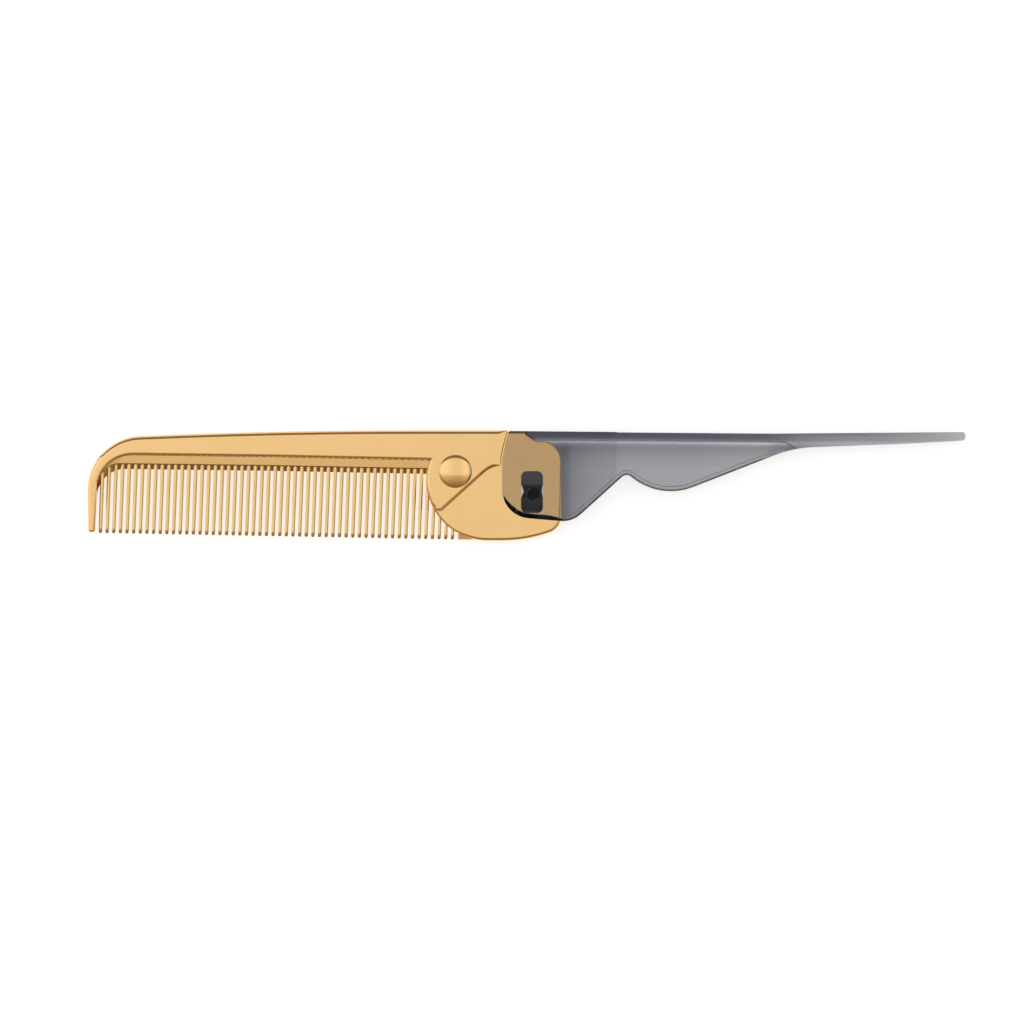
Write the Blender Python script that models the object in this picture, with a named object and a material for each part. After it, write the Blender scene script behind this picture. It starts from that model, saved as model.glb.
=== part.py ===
"""A folding tail comb, lying open on its back.

A gold-finished comb turns on a pin between the two ears of a clear smoke-grey handle. The
handle is a channel with a closed straight back, so the tips of the teeth fold into it.

The origin is on the fold's axis, on the surface that the comb lies on. +X runs along the comb
to the tail's tip, +Y is the side of the spine, and +Z is up. Sizes are in millimetres, and MM
turns them into Blender's metres. Outlines are written as seen from above.
"""

import math

import bmesh
import bpy
from mathutils import Matrix, Vector

MM = 0.001
ARC_STEP = math.radians(12)
ARC_SAG = 0.015
SAME_PLACE = 1e-5

# Thickness. Every piece is symmetric about the middle plane.
BASE_THICKNESS = 6.2
MIDDLE = BASE_THICKNESS / 2
TAB_HALF = 1.2
EAR_GAP_HALF = 1.5
RUNNING_GAP = 0.3
FIT_GAP = 0.1
EDGE_CHAMFER = 0.3

# Comb: the spine, the guard tooth at its far end, and the round end plate
COMB_LEFT = -106.9
COMB_BOTTOM = -11.25
SPINE_TOP = 15.3
SPINE_BEND = -60.2
SPINE_BEND_RADIUS = 1540
SPINE_SLOPE = math.radians(2.3)
SPINE_CORNER_RADIUS = 13
SPINE_END_HALF = 1.8
TAPER_START = -26
GUARD_INNER = -104.7
GUARD_ROOT = 0.8
GUARD_TIP = -9.24
GUARD_TIP_CORNERS = [(-105.2, GUARD_TIP, 0.7), (-106.8, GUARD_TIP, 0.7)]
GUARD_TIP_HALF = 1.1
GUARD_TAPER_START = 3
DISC_CENTRE = (-10.9, 3.35)
DISC_RADIUS = 14.6
DISC_START_ANGLE = 267

# The tab that goes between the ears: corners as x, y and the radius that rounds them
TAB_SHOULDER = 14.16
TAB_TOP = 12.7
TAB_CORNERS = [(-1.6, TAB_SHOULDER, 0.8), (0.6, TAB_TOP, 1.5), (6.8, TAB_TOP, 4.9),
               (6.8, -8.35, 4.0), (-1.6, COMB_BOTTOM, 34)]
SLOT_MIDDLE = (-0.2, 0.45)
SLOT_HALF_WIDTH = 2.65
SLOT_HALF_LENGTH = 5.05
SLOT_CORNER_RADIUS = 1.4

# The web under the spine, from its root line to the bottom of the gaps between the teeth
ROOT_LINE = ((-24.7, 8.35), (-63.1, 9.17))
ROOT_CORNER = (-104.7, 9.75, 8.6)
FRONT_CORNER = (-104.45, 7.5, 7.0)
APEX_CORNER = (-104.2, 6.1, 6.4)
WEB_FRONT_DROP = 2.2
WEB_APEX_DROP = 3.6
WEB_ROOT_HALF = 1.4
WEB_FRONT_HALF = 1.0
WEB_OVERLAP = 0.8
WEB_FOOT = 0.5
WEB_IN_PLATE = 3.0
WEB_CORNER_STEPS = 10

# Teeth
TOOTH_COUNT = 54
TOOTH_PITCH = 1.596
LAST_TOOTH_X = -19.35
LAST_TIP_Y = -10.92
TIP_SLOPE = math.tan(math.radians(1.06))
TOOTH_LEAN = math.tan(math.radians(2.2))
TOOTH_LENGTH = 16.5
TOOTH_FLANK = (0.3, 0.46)
TOOTH_RIDGE = (0.2, 0.27)
TOOTH_DEPTH = (0.5, 0.95)
TOOTH_END_SHARE = 0.45
TOOTH_END_LENGTH = 0.4
TOOTH_IN_WEB = 0.5
TOOTH_IN_PLATE = 1.2
BLANK_LEFT = -17.95
BLANK_TOP = -7.0
BLANK_HALF = 0.8

# Thumb dome
DOME_CENTRE = (-18.55, 5.4)
DOME_RADIUS = 4.0
DOME_HEIGHT = 1.0
DOME_RIM = 0.45
DOME_CROWN_RADIUS = 3.84
DOME_CROWN_ANGLES = (12, 32, 54, 76)
DOME_SIDES = 24

# Pivot pin and the block that it turns in
PIN_RADIUS = 1.5
PIN_HALF_LENGTH = 2.3
BORE_RADIUS = 1.6
ROUND_SIDES = 32
SEAT_OVERLAP = 0.2
BLOCK_WAIST = (2.1, 0.7, 1.2)
BLOCK_WAIST_REACH = 1.7
BLOCK_SHOULDER_RADIUS = 0.4

# Handle: corners of its outline as x, y and the radius that rounds them
BACK_TOP = 15.1
EAR_CORNERS = [(-5.75, BACK_TOP, 0.5), (-7.42, 8.7, 20)]
HEEL_CORNERS = [(-7.39, -5.3, 7.0), (9.45, -6.72, 6.5)]
NOTCH = (22.45, 5.05, 1.7)
BUMP = (30.6, -1.42, 14.8)
TAIL_ROOT = (62.56, 11.04, 28)
TAIL_BEND = (90, 12.1, 100)
TIP_X = 103.95
TIP_CORNERS = [(TIP_X, 12.85, 0.9), (TIP_X, 14.9, 0.8)]
BACK_DIP = (57, 14.5, 400)
EAR_END = 19.4
EAR_END_RAMP = 0.4
EAR_END_TOP = 14.9
SHEATH_TOP = 14.78
BACK_UNDERSIDE = 13.1
BACK_START = [(-1.4, TAB_SHOULDER + RUNNING_GAP, 0.4), (0.8, BACK_UNDERSIDE, 1.0)]
CHANNEL_END = 62.5
CHANNEL_END_RADIUS = 0.8
RIM_BEVEL = [(-20, EDGE_CHAMFER), (EAR_END, EDGE_CHAMFER), (EAR_END + 2, 0.8), (50, 0.8),
             (CHANNEL_END, EDGE_CHAMFER), (110, EDGE_CHAMFER)]
# A rectangle that goes round the ears and past the lower edge: left, bottom and top
OPEN_SPACE = (-12.0, -12.0, 18.0)
# Half the handle's thickness, and half its channel's, along x
HANDLE_HALF = [(-10, 3.1), (EAR_END, 3.1), (EAR_END + EAR_END_RAMP, 2.75), (40, 2.5), (64, 1.9),
               (75, 1.45), (85, 1.42), (TIP_X, 1.0)]
CHANNEL_HALF = [(-20, EAR_GAP_HALF), (EAR_END, EAR_GAP_HALF), (EAR_END + EAR_END_RAMP, 1.6),
                (CHANNEL_END, 1.15)]


def arc_steps(sweep, radius):
    """Enough chords for an arc to stay close to it and to turn smoothly."""
    return max(2, math.ceil(sweep / ARC_STEP), math.ceil(sweep * math.sqrt(radius / (8 * ARC_SAG))))


def rounded(corners, closed=True, steps_each=None):
    """An outline's points, with each corner (x, y, radius) rounded by an arc."""
    points = []
    last = len(corners) - 1
    for i, (x, y, radius) in enumerate(corners):
        corner = Vector((x, y))
        if not radius or (not closed and i in (0, last)):
            points.append(corner)
            continue
        to_before = (Vector(corners[i - 1][:2]) - corner).normalized()
        to_after = (Vector(corners[(i + 1) % (last + 1)][:2]) - corner).normalized()
        half = to_before.angle(to_after) / 2
        centre = corner + (to_before + to_after).normalized() * radius / math.sin(half)
        start = corner + to_before * radius / math.tan(half) - centre
        sweep = math.pi - 2 * half
        turn = math.copysign(sweep, to_after.x * to_before.y - to_after.y * to_before.x)
        steps = steps_each or arc_steps(sweep, radius)
        for step in range(steps + 1):
            points.append(centre + Matrix.Rotation(turn * step / steps, 2) @ start)
    return points


def arc(centre, radius, start_deg, end_deg):
    """Points of an arc, counted in degrees from +X."""
    steps = arc_steps(math.radians(abs(end_deg - start_deg)), radius)
    angles = [math.radians(start_deg + (end_deg - start_deg) * i / steps) for i in range(steps + 1)]
    return [Vector(centre) + radius * Vector((math.cos(a), math.sin(a))) for a in angles]


def circle(centre, radius, sides):
    angles = [2 * math.pi * i / sides for i in range(sides)]
    return [Vector(centre) + radius * Vector((math.cos(a), math.sin(a))) for a in angles]


def counterclockwise(outline):
    area = sum(a.x * b.y - b.x * a.y for a, b in zip(outline, outline[1:] + outline[:1]))
    return outline if area > 0 else outline[::-1]


def inset(outline, distance):
    """A counterclockwise outline moved inwards by distance(point), or outwards where it is negative."""
    moved = []
    for before, point, after in zip(outline[-1:] + outline[:-1], outline, outline[1:] + outline[:1]):
        first = (point - before).normalized().orthogonal()
        second = (after - point).normalized().orthogonal()
        moved.append(point + (first + second) / (1 + first.dot(second)) * distance(point))
    return moved


def half_turned(outline):
    """The outline after the fold: turned by half a turn about the pin."""
    return [-point for point in outline]


def along(table, x):
    """A value read from a table of (x, value) rows by straight lines."""
    for (x0, v0), (x1, v1) in zip(table, table[1:]):
        if x <= x1:
            return v0 + (v1 - v0) * (x - x0) / (x1 - x0)
    return table[-1][1]


def height_at(path, x):
    """The y of a path of points at this x."""
    return along(sorted((point.x, point.y) for point in path), x)


def object_from(bm, name, material=None):
    """A new object on the middle plane; without a material it is a cutter or a joined shape."""
    bmesh.ops.recalc_face_normals(bm, faces=bm.faces)
    bmesh.ops.scale(bm, vec=(MM, MM, MM), verts=bm.verts)
    mesh = bpy.data.meshes.new(name)
    bm.to_mesh(mesh)
    bm.free()
    obj = bpy.data.objects.new(name, mesh)
    bpy.context.scene.collection.objects.link(obj)
    if material:
        mesh.materials.append(material)
    else:
        obj.hide_render = True
        obj.display_type = "WIRE"
    return obj


def add_rings(bm, rings, capped=True):
    """Faces between rings of equal length, with flat ends."""
    rows = [[bm.verts.new(point) for point in ring] for ring in rings]
    for low, high in zip(rows, rows[1:]):
        for i, vert in enumerate(low):
            j = (i + 1) % len(low)
            bm.faces.new((vert, low[j], high[j], high[i]))
    if capped:
        bm.faces.new(rows[0][::-1])
        bm.faces.new(rows[-1])


def add_slab(bm, outline, low, high):
    add_rings(bm, [[(p.x, p.y, z) for p in outline] for z in (low, high)])


def profiled_slab(outline, half_at, chamfer_at, creases):
    """A slab with chamfered edges whose half thickness follows half_at(x, y) between its creases.

    It is made at one tall height, cut along the creases, and each level then moves to its place.
    """
    tall = 10.0
    outline = counterclockwise(outline)
    inner = inset(outline, chamfer_at)
    edge = tall - EDGE_CHAMFER
    bm = bmesh.new()
    levels = [(inner, -tall), (outline, -edge), (outline, edge), (inner, tall)]
    add_rings(bm, [[(p.x, p.y, z) for p in ring] for ring, z in levels])
    for place, normal, reach in creases:
        chosen = [f for f in bm.faces if reach(f.calc_center_median())]
        edges = {e for f in chosen for e in f.edges}
        verts = {v for f in chosen for v in f.verts}
        bmesh.ops.bisect_plane(bm, geom=chosen + list(edges) + list(verts), dist=SAME_PLACE,
                               plane_co=place, plane_no=normal)
    for vert in bm.verts:
        side = math.copysign(1, vert.co.z)
        vert.co.z = side * (half_at(vert.co.x, vert.co.y) - tall + abs(vert.co.z))
    return bm


def boolean(target, other, operation):
    modifier = target.modifiers.new(other.name, "BOOLEAN")
    modifier.operation = operation
    modifier.solver = "EXACT"
    modifier.object = other


def comb_outline():
    """The spine, the guard tooth, the end plate and the tab as one outline."""
    left_top = SPINE_TOP - (SPINE_BEND - COMB_LEFT) * math.tan(SPINE_SLOPE)
    thick_end = EAR_CORNERS[0][0] - RUNNING_GAP
    corners = [
        (GUARD_INNER, GUARD_ROOT, 0),
        *GUARD_TIP_CORNERS,
        (COMB_LEFT, left_top, SPINE_CORNER_RADIUS),
        (SPINE_BEND, SPINE_TOP, SPINE_BEND_RADIUS),
        (thick_end, SPINE_TOP, 0),
        (thick_end, TAB_SHOULDER, 0),
        *TAB_CORNERS,
        (DISC_CENTRE[0], COMB_BOTTOM, 0),
    ]
    root = [(*ROOT_LINE[0], 0), (*ROOT_LINE[1], 0), ROOT_CORNER, (GUARD_INNER, GUARD_ROOT, 0)]
    top = Vector(ROOT_LINE[0]) - Vector(DISC_CENTRE)
    top_angle = math.degrees(math.atan2(top.y, top.x))
    disc = arc(DISC_CENTRE, DISC_RADIUS, DISC_START_ANGLE, top_angle)
    return rounded(corners, closed=False) + disc[:-1] + rounded(root, closed=False)[:-1]


def spine_half(x, y):
    """Half the comb's thickness: the spine thins to its far end, and the guard to its tip."""
    half = along([(COMB_LEFT, SPINE_END_HALF), (TAPER_START, MIDDLE)], x)
    if x < TAPER_START and y < GUARD_TAPER_START:
        share = (GUARD_TAPER_START - y) / (GUARD_TAPER_START - GUARD_TIP)
        half += (GUARD_TIP_HALF - SPINE_END_HALF) * share
    return half


def comb_plate(material):
    creases = [
        ((TAPER_START, 0, 0), (1, 0, 0), lambda centre: True),
        ((0, GUARD_TAPER_START, 0), (0, 1, 0), lambda centre: centre.x < TAPER_START),
    ]
    bm = profiled_slab(comb_outline(), spine_half, lambda point: EDGE_CHAMFER, creases)
    return object_from(bm, "comb", material)


def relief(name, outline):
    """Cuts the end plate down to the tab on both faces, where the ears pass."""
    cleared = inset(counterclockwise(outline), lambda point: -RUNNING_GAP)
    bm = bmesh.new()
    add_slab(bm, cleared, TAB_HALF, 2 * MIDDLE)
    add_slab(bm, cleared, -2 * MIDDLE, -TAB_HALF)
    return object_from(bm, name)


def web_path(corner, drop):
    """A line beside the root line, round the far corner and down to the guard tooth."""
    (x0, y0), (x1, y1) = ROOT_LINE
    x, y, radius = corner
    foot = y - radius - WEB_FOOT
    corners = [(x0 + WEB_IN_PLATE, y0 - drop, 0), (x1, y1 - drop, 0), corner, (x, foot, 0)]
    return rounded(corners, closed=False, steps_each=WEB_CORNER_STEPS)


def web():
    """The web: a plate that thins from the root line, then a wedge down to the middle plane."""
    inner = web_path((ROOT_CORNER[0] - WEB_OVERLAP, ROOT_CORNER[1] + WEB_OVERLAP, ROOT_CORNER[2]),
                     -WEB_OVERLAP)
    front = web_path(FRONT_CORNER, WEB_FRONT_DROP)
    apex = web_path(APEX_CORNER, WEB_APEX_DROP)
    in_guard = (COMB_LEFT + GUARD_INNER) / 2
    for path in (inner, front, apex):
        path.append(Vector((in_guard, path[-1].y - WEB_OVERLAP)))
    bm = bmesh.new()
    sections = []
    for i, f, a in zip(inner, front, apex):
        sections.append([
            (i.x, i.y, WEB_ROOT_HALF), (f.x, f.y, WEB_FRONT_HALF), (a.x, a.y, 0),
            (f.x, f.y, -WEB_FRONT_HALF), (i.x, i.y, -WEB_ROOT_HALF),
        ])
    add_rings(bm, sections)
    return object_from(bm, "web")


def tooth_section(place, size, scale=1.0):
    """A six-sided section: sharp flanks at the middle plane and a narrow ridge on each face."""
    flank, ridge, depth = (scale * (tip + (root - tip) * size)
                           for tip, root in (TOOTH_FLANK, TOOTH_RIDGE, TOOTH_DEPTH))
    section = [(-flank, 0), (-ridge, -depth), (ridge, -depth), (flank, 0), (ridge, depth),
               (-ridge, depth)]
    return [(place.x + across, place.y, z) for across, z in section]


def tooth_root(x):
    """Where a tooth starts: in the web, or under the rim of the end plate."""
    if x > ROOT_LINE[0][0]:
        rim = DISC_CENTRE[1] - math.sqrt(DISC_RADIUS**2 - (x - DISC_CENTRE[0])**2)
        return rim + TOOTH_IN_PLATE
    return height_at(web_path(FRONT_CORNER, WEB_FRONT_DROP), x) + TOOTH_IN_WEB


def teeth():
    bm = bmesh.new()
    for n in range(TOOTH_COUNT):
        tip = Vector((LAST_TOOTH_X - n * TOOTH_PITCH, LAST_TIP_Y + n * TOOTH_PITCH * TIP_SLOPE))
        length = tooth_root(tip.x + TOOTH_LEAN * TOOTH_LENGTH) - tip.y
        up = Vector((TOOTH_LEAN, 1))
        shoulder = tip + up * TOOTH_END_LENGTH
        root = tip + up * length
        add_rings(bm, [
            tooth_section(tip, 0, TOOTH_END_SHARE),
            tooth_section(shoulder, TOOTH_END_LENGTH / TOOTH_LENGTH),
            tooth_section(root, length / TOOTH_LENGTH),
        ])
    return object_from(bm, "teeth")


def blank():
    """The short toothless piece of web that shows beside the last tooth."""
    bm = bmesh.new()
    lean = TOOTH_LEAN * (BLANK_TOP - LAST_TIP_Y)
    right = DISC_CENTRE[0]
    corners = [(BLANK_LEFT, LAST_TIP_Y), (right, LAST_TIP_Y), (right, BLANK_TOP),
               (BLANK_LEFT + lean, BLANK_TOP)]
    add_slab(bm, [Vector(corner) for corner in corners], -BLANK_HALF, BLANK_HALF)
    return object_from(bm, "blank")


def dome():
    """The raised round thumb rest on the front face, with a steep rim."""
    bm = bmesh.new()
    base = MIDDLE - EDGE_CHAMFER
    crown = DOME_HEIGHT - DOME_RIM
    profile = [(DOME_RADIUS, base), (DOME_RADIUS, MIDDLE + DOME_RIM / 2)]
    for angle in map(math.radians, DOME_CROWN_ANGLES):
        profile.append((DOME_CROWN_RADIUS * math.cos(angle),
                        MIDDLE + DOME_RIM + crown * math.sin(angle)))
    rings = []
    for radius, z in profile:
        rings.append([(point.x, point.y, z) for point in circle(DOME_CENTRE, radius, DOME_SIDES)])
    add_rings(bm, rings)
    return object_from(bm, "dome")


def slot():
    """The tab's slot, with rounded corners, which takes the pivot block."""
    (x, y), w, h, r = SLOT_MIDDLE, SLOT_HALF_WIDTH, SLOT_HALF_LENGTH, SLOT_CORNER_RADIUS
    outline = [(x - w, y - h, r), (x + w, y - h, r), (x + w, y + h, r), (x - w, y + h, r)]
    bm = bmesh.new()
    add_slab(bm, rounded(outline), -MIDDLE, MIDDLE)
    return object_from(bm, "slot")


def comb(material):
    """The whole gold comb: the plate, cleared for the ears, with all that is joined to it."""
    plate = comb_plate(material)
    handle = handle_outline()
    boolean(plate, relief("relief_open", handle), "DIFFERENCE")
    boolean(plate, relief("relief_shut", half_turned(handle)), "DIFFERENCE")
    for part in (web(), teeth(), blank(), dome()):
        boolean(plate, part, "UNION")
    boolean(plate, slot(), "DIFFERENCE")
    return plate


def pivot_block(material):
    """The black block in the tab's slot, drawn in at the pin, with the pin's bore."""
    w = SLOT_HALF_WIDTH - FIT_GAP
    h = SLOT_HALF_LENGTH - FIT_GAP
    x, y = SLOT_MIDDLE
    lobe = SLOT_CORNER_RADIUS - FIT_GAP
    waist_x, waist_y, waist_radius = BLOCK_WAIST
    upper = waist_y + BLOCK_WAIST_REACH
    lower = waist_y - BLOCK_WAIST_REACH
    shoulder = BLOCK_SHOULDER_RADIUS
    right = [(x + w, y + h, lobe), (x + w, upper, shoulder), (waist_x, waist_y, waist_radius),
             (x + w, lower, shoulder), (x + w, y - h, lobe)]
    left = [(x - w, y - h, lobe), (x - w, lower, shoulder), (-waist_x, waist_y, waist_radius),
            (x - w, upper, shoulder), (x - w, y + h, lobe)]
    bm = bmesh.new()
    add_slab(bm, rounded(right + left), -TAB_HALF, TAB_HALF)
    block = object_from(bm, "pivot_block", material)
    bm = bmesh.new()
    add_slab(bm, circle((0, 0), BORE_RADIUS, ROUND_SIDES), -MIDDLE, MIDDLE)
    boolean(block, object_from(bm, "bore"), "DIFFERENCE")
    return block


def pivot_pin(material):
    bm = bmesh.new()
    add_slab(bm, circle((0, 0), PIN_RADIUS, ROUND_SIDES), -PIN_HALF_LENGTH, PIN_HALF_LENGTH)
    return object_from(bm, "pivot_pin", material)


def handle_outline():
    """The handle from above: ears, heel, notch, bump, tail, and the straight back."""
    ramp_end = EAR_END + EAR_END_RAMP
    back = [BACK_DIP, (ramp_end, SHEATH_TOP, 0), (EAR_END, EAR_END_TOP, 0)]
    return rounded(EAR_CORNERS + HEEL_CORNERS + [NOTCH, BUMP, TAIL_ROOT, TAIL_BEND]
                   + TIP_CORNERS + back)


def rim_chamfer(point):
    """The sheath's lower rim has a wide bevel, and every other edge a narrow one."""
    if point.y > BACK_UNDERSIDE - 1:
        return EDGE_CHAMFER
    return along(RIM_BEVEL, point.x)


def handle_body(material):
    creases = [((x, 0, 0), (1, 0, 0), lambda centre: True) for x, _ in HANDLE_HALF[1:-1]]
    bm = profiled_slab(handle_outline(), lambda x, y: along(HANDLE_HALF, x), rim_chamfer, creases)
    return object_from(bm, "handle", material)


def channel():
    """The space between the ears and the sheath's walls, open below and round the ears."""
    left, bottom, top = OPEN_SPACE
    corners = [
        (left, top, 0), (BACK_START[0][0], top, 0), *BACK_START,
        (CHANNEL_END, BACK_UNDERSIDE, CHANNEL_END_RADIUS), (CHANNEL_END, bottom, 0),
        (left, bottom, 0),
    ]
    bm = bmesh.new()
    add_slab(bm, rounded(corners), -1, 1)
    for x, _ in CHANNEL_HALF[1:-1]:
        bmesh.ops.bisect_plane(bm, geom=bm.verts[:] + bm.edges[:] + bm.faces[:], dist=SAME_PLACE,
                               plane_co=(x, 0, 0), plane_no=(1, 0, 0))
    for vert in bm.verts:
        vert.co.z *= along(CHANNEL_HALF, vert.co.x)
    return object_from(bm, "channel")


def pin_seats():
    """Blind round seats for the pin's ends, in the ears' inner faces."""
    bm = bmesh.new()
    seat = circle((0, 0), BORE_RADIUS, ROUND_SIDES)
    bottom = PIN_HALF_LENGTH + FIT_GAP
    add_slab(bm, seat, EAR_GAP_HALF - SEAT_OVERLAP, bottom)
    add_slab(bm, seat, -bottom, SEAT_OVERLAP - EAR_GAP_HALF)
    return object_from(bm, "pin_seats")


def handle(material):
    body = handle_body(material)
    boolean(body, channel(), "DIFFERENCE")
    boolean(body, pin_seats(), "DIFFERENCE")
    return body


def material(name, colour, roughness, metallic=0.0, transmission=0.0):
    made = bpy.data.materials.new(name)
    made.use_nodes = True
    shader = made.node_tree.nodes["Principled BSDF"]
    shader.inputs["Base Color"].default_value = (*colour, 1)
    shader.inputs["Roughness"].default_value = roughness
    shader.inputs["Metallic"].default_value = metallic
    shader.inputs["Transmission Weight"].default_value = transmission
    return made


def main():
    for obj in list(bpy.data.objects):
        bpy.data.objects.remove(obj)
    gold = material("gold_finish", (0.86, 0.56, 0.26), 0.12, metallic=1.0)
    smoke = material("smoke_plastic", (0.27, 0.27, 0.30), 0.08, transmission=1.0)
    black = material("black_plastic", (0.015, 0.014, 0.016), 0.35)
    comb(gold)
    pivot_block(black)
    handle(smoke)
    pivot_pin(black)

    comb_side = bpy.data.objects.new("comb_side", None)
    fold_axis = bpy.data.objects.new("fold_axis", None)
    for frame in (comb_side, fold_axis):
        bpy.context.scene.collection.objects.link(frame)
        frame.location = (0, 0, MIDDLE * MM)
    folding = ("handle", "channel", "pin_seats", "pivot_pin")
    for obj in bpy.data.objects:
        if obj.type == "MESH":
            obj.parent = fold_axis if obj.name in folding else comb_side


main()
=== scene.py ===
"""The look of a folding tail comb that lies open on a white surface, seen from straight above.

Four pieces take the places of the four CAD solids: the gold-finished comb, the black pivot
block, the clear smoke-grey handle and the black pivot pin. They have the solids' sizes, with
finer curves and soft edges. Sizes here are in millimetres where no comment says metres, and MM
turns them into metres.
"""

import math

import bmesh
import bpy
from mathutils import Matrix, Vector


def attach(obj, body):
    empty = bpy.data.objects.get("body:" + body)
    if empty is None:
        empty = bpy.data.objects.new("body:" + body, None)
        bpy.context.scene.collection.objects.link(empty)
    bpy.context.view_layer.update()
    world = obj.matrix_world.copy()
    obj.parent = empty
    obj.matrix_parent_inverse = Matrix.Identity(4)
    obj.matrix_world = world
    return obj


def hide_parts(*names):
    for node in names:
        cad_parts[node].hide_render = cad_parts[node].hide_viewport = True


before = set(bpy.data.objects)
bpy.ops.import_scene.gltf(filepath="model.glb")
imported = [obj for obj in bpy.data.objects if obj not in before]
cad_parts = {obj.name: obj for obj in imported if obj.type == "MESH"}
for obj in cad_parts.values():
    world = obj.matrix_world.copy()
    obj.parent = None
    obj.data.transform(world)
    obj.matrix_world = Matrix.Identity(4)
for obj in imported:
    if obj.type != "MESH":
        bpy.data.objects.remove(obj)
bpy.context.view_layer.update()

MM = 0.001

# Curves are cut into straight steps with at most this turn and this sag
ARC_STEP = math.radians(4)
ARC_SAG = 0.004
ROUND_STEPS = 6

# How fast the width of a rounded edge may change along an outline, how often it is evened out,
# and by how much it shrinks while less than this share of a step is left at its inner side
EDGE_FADE = 0.5
EDGE_ROUNDS = 400
EDGE_SHRINK = 0.85
EDGE_LEAST_SHARE = 0.1

# Points count as on a line, on the round plate's rim or on a cutting plane within these distances
ON_LINE = 0.1
ON_RIM = 0.05
ON_CUT = 1e-5
# An outline's points are at least this far apart
LEAST_STEP = 0.03

# Half thicknesses of a slab before it gets its own, and of the slabs that trim outlines
SLAB_HALF = 10
TRIM_HALF = 1
# A top face's middle is this near to the top, in metres, and its normal's z is above this
SAME_HEIGHT = 1e-6
FACES_UP = 0.9

# Faces that meet at a larger angle than this, in degrees, keep a sharp edge
GOLD_CREASE = 22
PLAIN_CREASE = 30
NORMAL_WEIGHT = 100

# Thickness, on both sides of the middle plane
MIDDLE = 3.1
TAB_HALF = 1.2
EAR_GAP_HALF = 1.5
RUNNING_GAP = 0.3

# Comb
COMB_LEFT = -106.9
COMB_BOTTOM = -11.25
SPINE_TOP = 15.3
SPINE_BEND = -60.2
SPINE_BEND_RADIUS = 1540
SPINE_SLOPE = math.radians(2.3)
SPINE_SOFT_END = -8.3
SPINE_CORNER_RADIUS = 13
SPINE_CORNER_CENTRE = (-93.9, 0.4)
SPINE_END_HALF = 1.8
TAPER_START = -26
GUARD_INNER = -104.7
GUARD_ROOT = 0.8
GUARD_TIP = -9.24
GUARD_TIP_CORNERS = [(-105.2, GUARD_TIP, 0.7), (-106.8, GUARD_TIP, 0.7)]
GUARD_TIP_HALF = 1.1
GUARD_TAPER_START = 3
DISC_CENTRE = (-10.9, 3.35)
DISC_RADIUS = 14.6
DISC_START_ANGLE = 267
TAB_SHOULDER = 14.85
TAB_STEP = 14.16
TAB_TOP = 12.7
TAB_CORNERS = [(-1.75, TAB_SHOULDER, 0.5), (-1.6, TAB_STEP, 0.5), (0.6, TAB_TOP, 1.5),
               (6.8, TAB_TOP, 4.9), (6.8, -8.35, 4.0), (-1.6, COMB_BOTTOM, 34)]
# Cuts off the part of the comb's outline that the thin tab doesn't reach
LEFT_OF_TAB = [(-130, -20), (-25, -20), (-25, -3), (-22, -1.5), (-22, 20), (-130, 20)]
SLOT_MIDDLE = (-0.2, 0.45)
SLOT_HALF_WIDTH = 2.65
SLOT_HALF_LENGTH = 5.05
SLOT_CORNER_RADIUS = 1.4

# Widths of the comb's rounded edges, and the places where they change
SPINE_EDGE = 1.3
SPINE_EDGE_FOOT = 11
SPINE_EDGE_RIGHT = -8
CORNER_EDGE = [(3, 0.8), (11, 1.3)]
CORNER_EDGE_REACH = 1
PLATE_LEFT = -24
INNER_EDGE = 0.8
RIM_EDGE = 1.2
RIM_EDGE_TOP = 0.5
STEP_EDGE = 0.85
STEP_EDGE_TOP = 7.5
EAR_SIDE_EDGE = 0.35
EDGE_ABOVE_WEB = 0.06
TAB_EDGE = 0.3
TAB_LOWER_EDGE = [(-19, 0.55), (-16, 0.8)]
TAB_LOWER_EDGE_TOP = -2

# Web and teeth
ROOT_LINE = ((-24.7, 8.02), (-63.1, 8.84))
ROOT_CORNER = (-104.7, 9.42, 8.6)
FRONT_CORNER = (-104.78, 7.5, 5.6)
APEX_CORNER = (-104.78, 6.1, 6.8)
WEB_FRONT_DROP = 1.87
WEB_APEX_DROP = 3.27
WEB_ROOT_HALF = 1.4
WEB_FRONT_HALF = 1.15
WEB_WEDGE_SLOPE = 0.82
WEB_OVERLAP = 0.8
WEB_FOOT = 0.3
WEB_IN_PLATE = 3.0
WEB_CORNER_STEPS = 30
TOOTH_COUNT = 54
TOOTH_PITCH = 1.596
LAST_TOOTH_X = -19.35
LAST_TIP_Y = -10.92
TIP_SLOPE = math.tan(math.radians(1.06))
TOOTH_LEAN = math.tan(math.radians(2.2))
TOOTH_LENGTH = 16.5
# Half a tooth's width, half its ridge's width and half its depth, each at the tip and the root
TOOTH_FLANK = (0.42, 0.49)
TOOTH_RIDGE = (0.18, 0.22)
TOOTH_DEPTH = (0.5, 0.95)
TOOTH_SHOULDER_SLOPE = 0.66
TOOTH_IN_WEB = 0.5
TOOTH_IN_PLATE = 1.2
# How far from its tip, and how much of the full width and depth a tooth has there
TOOTH_END = [(0.0, 0.5, 0.25), (0.1, 0.75, 0.42), (0.35, 0.92, 0.68), (0.7, 1.0, 0.93),
             (1.2, 1.0, 1.0)]
# How far from its root a tooth starts to narrow, and the share of its width at the root
TOOTH_NECK = (2.8, 0.74)
# A short tooth leaves out the rows of its end that are this near to its root, and its neck where
# less than this is left below it
TOOTH_END_ROOM = 0.2
TOOTH_NECK_ROOM = 2
BLANK_LEFT = -17.95
BLANK_TOP = -7.0
BLANK_HALVES = (0.35, 0.95)

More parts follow.
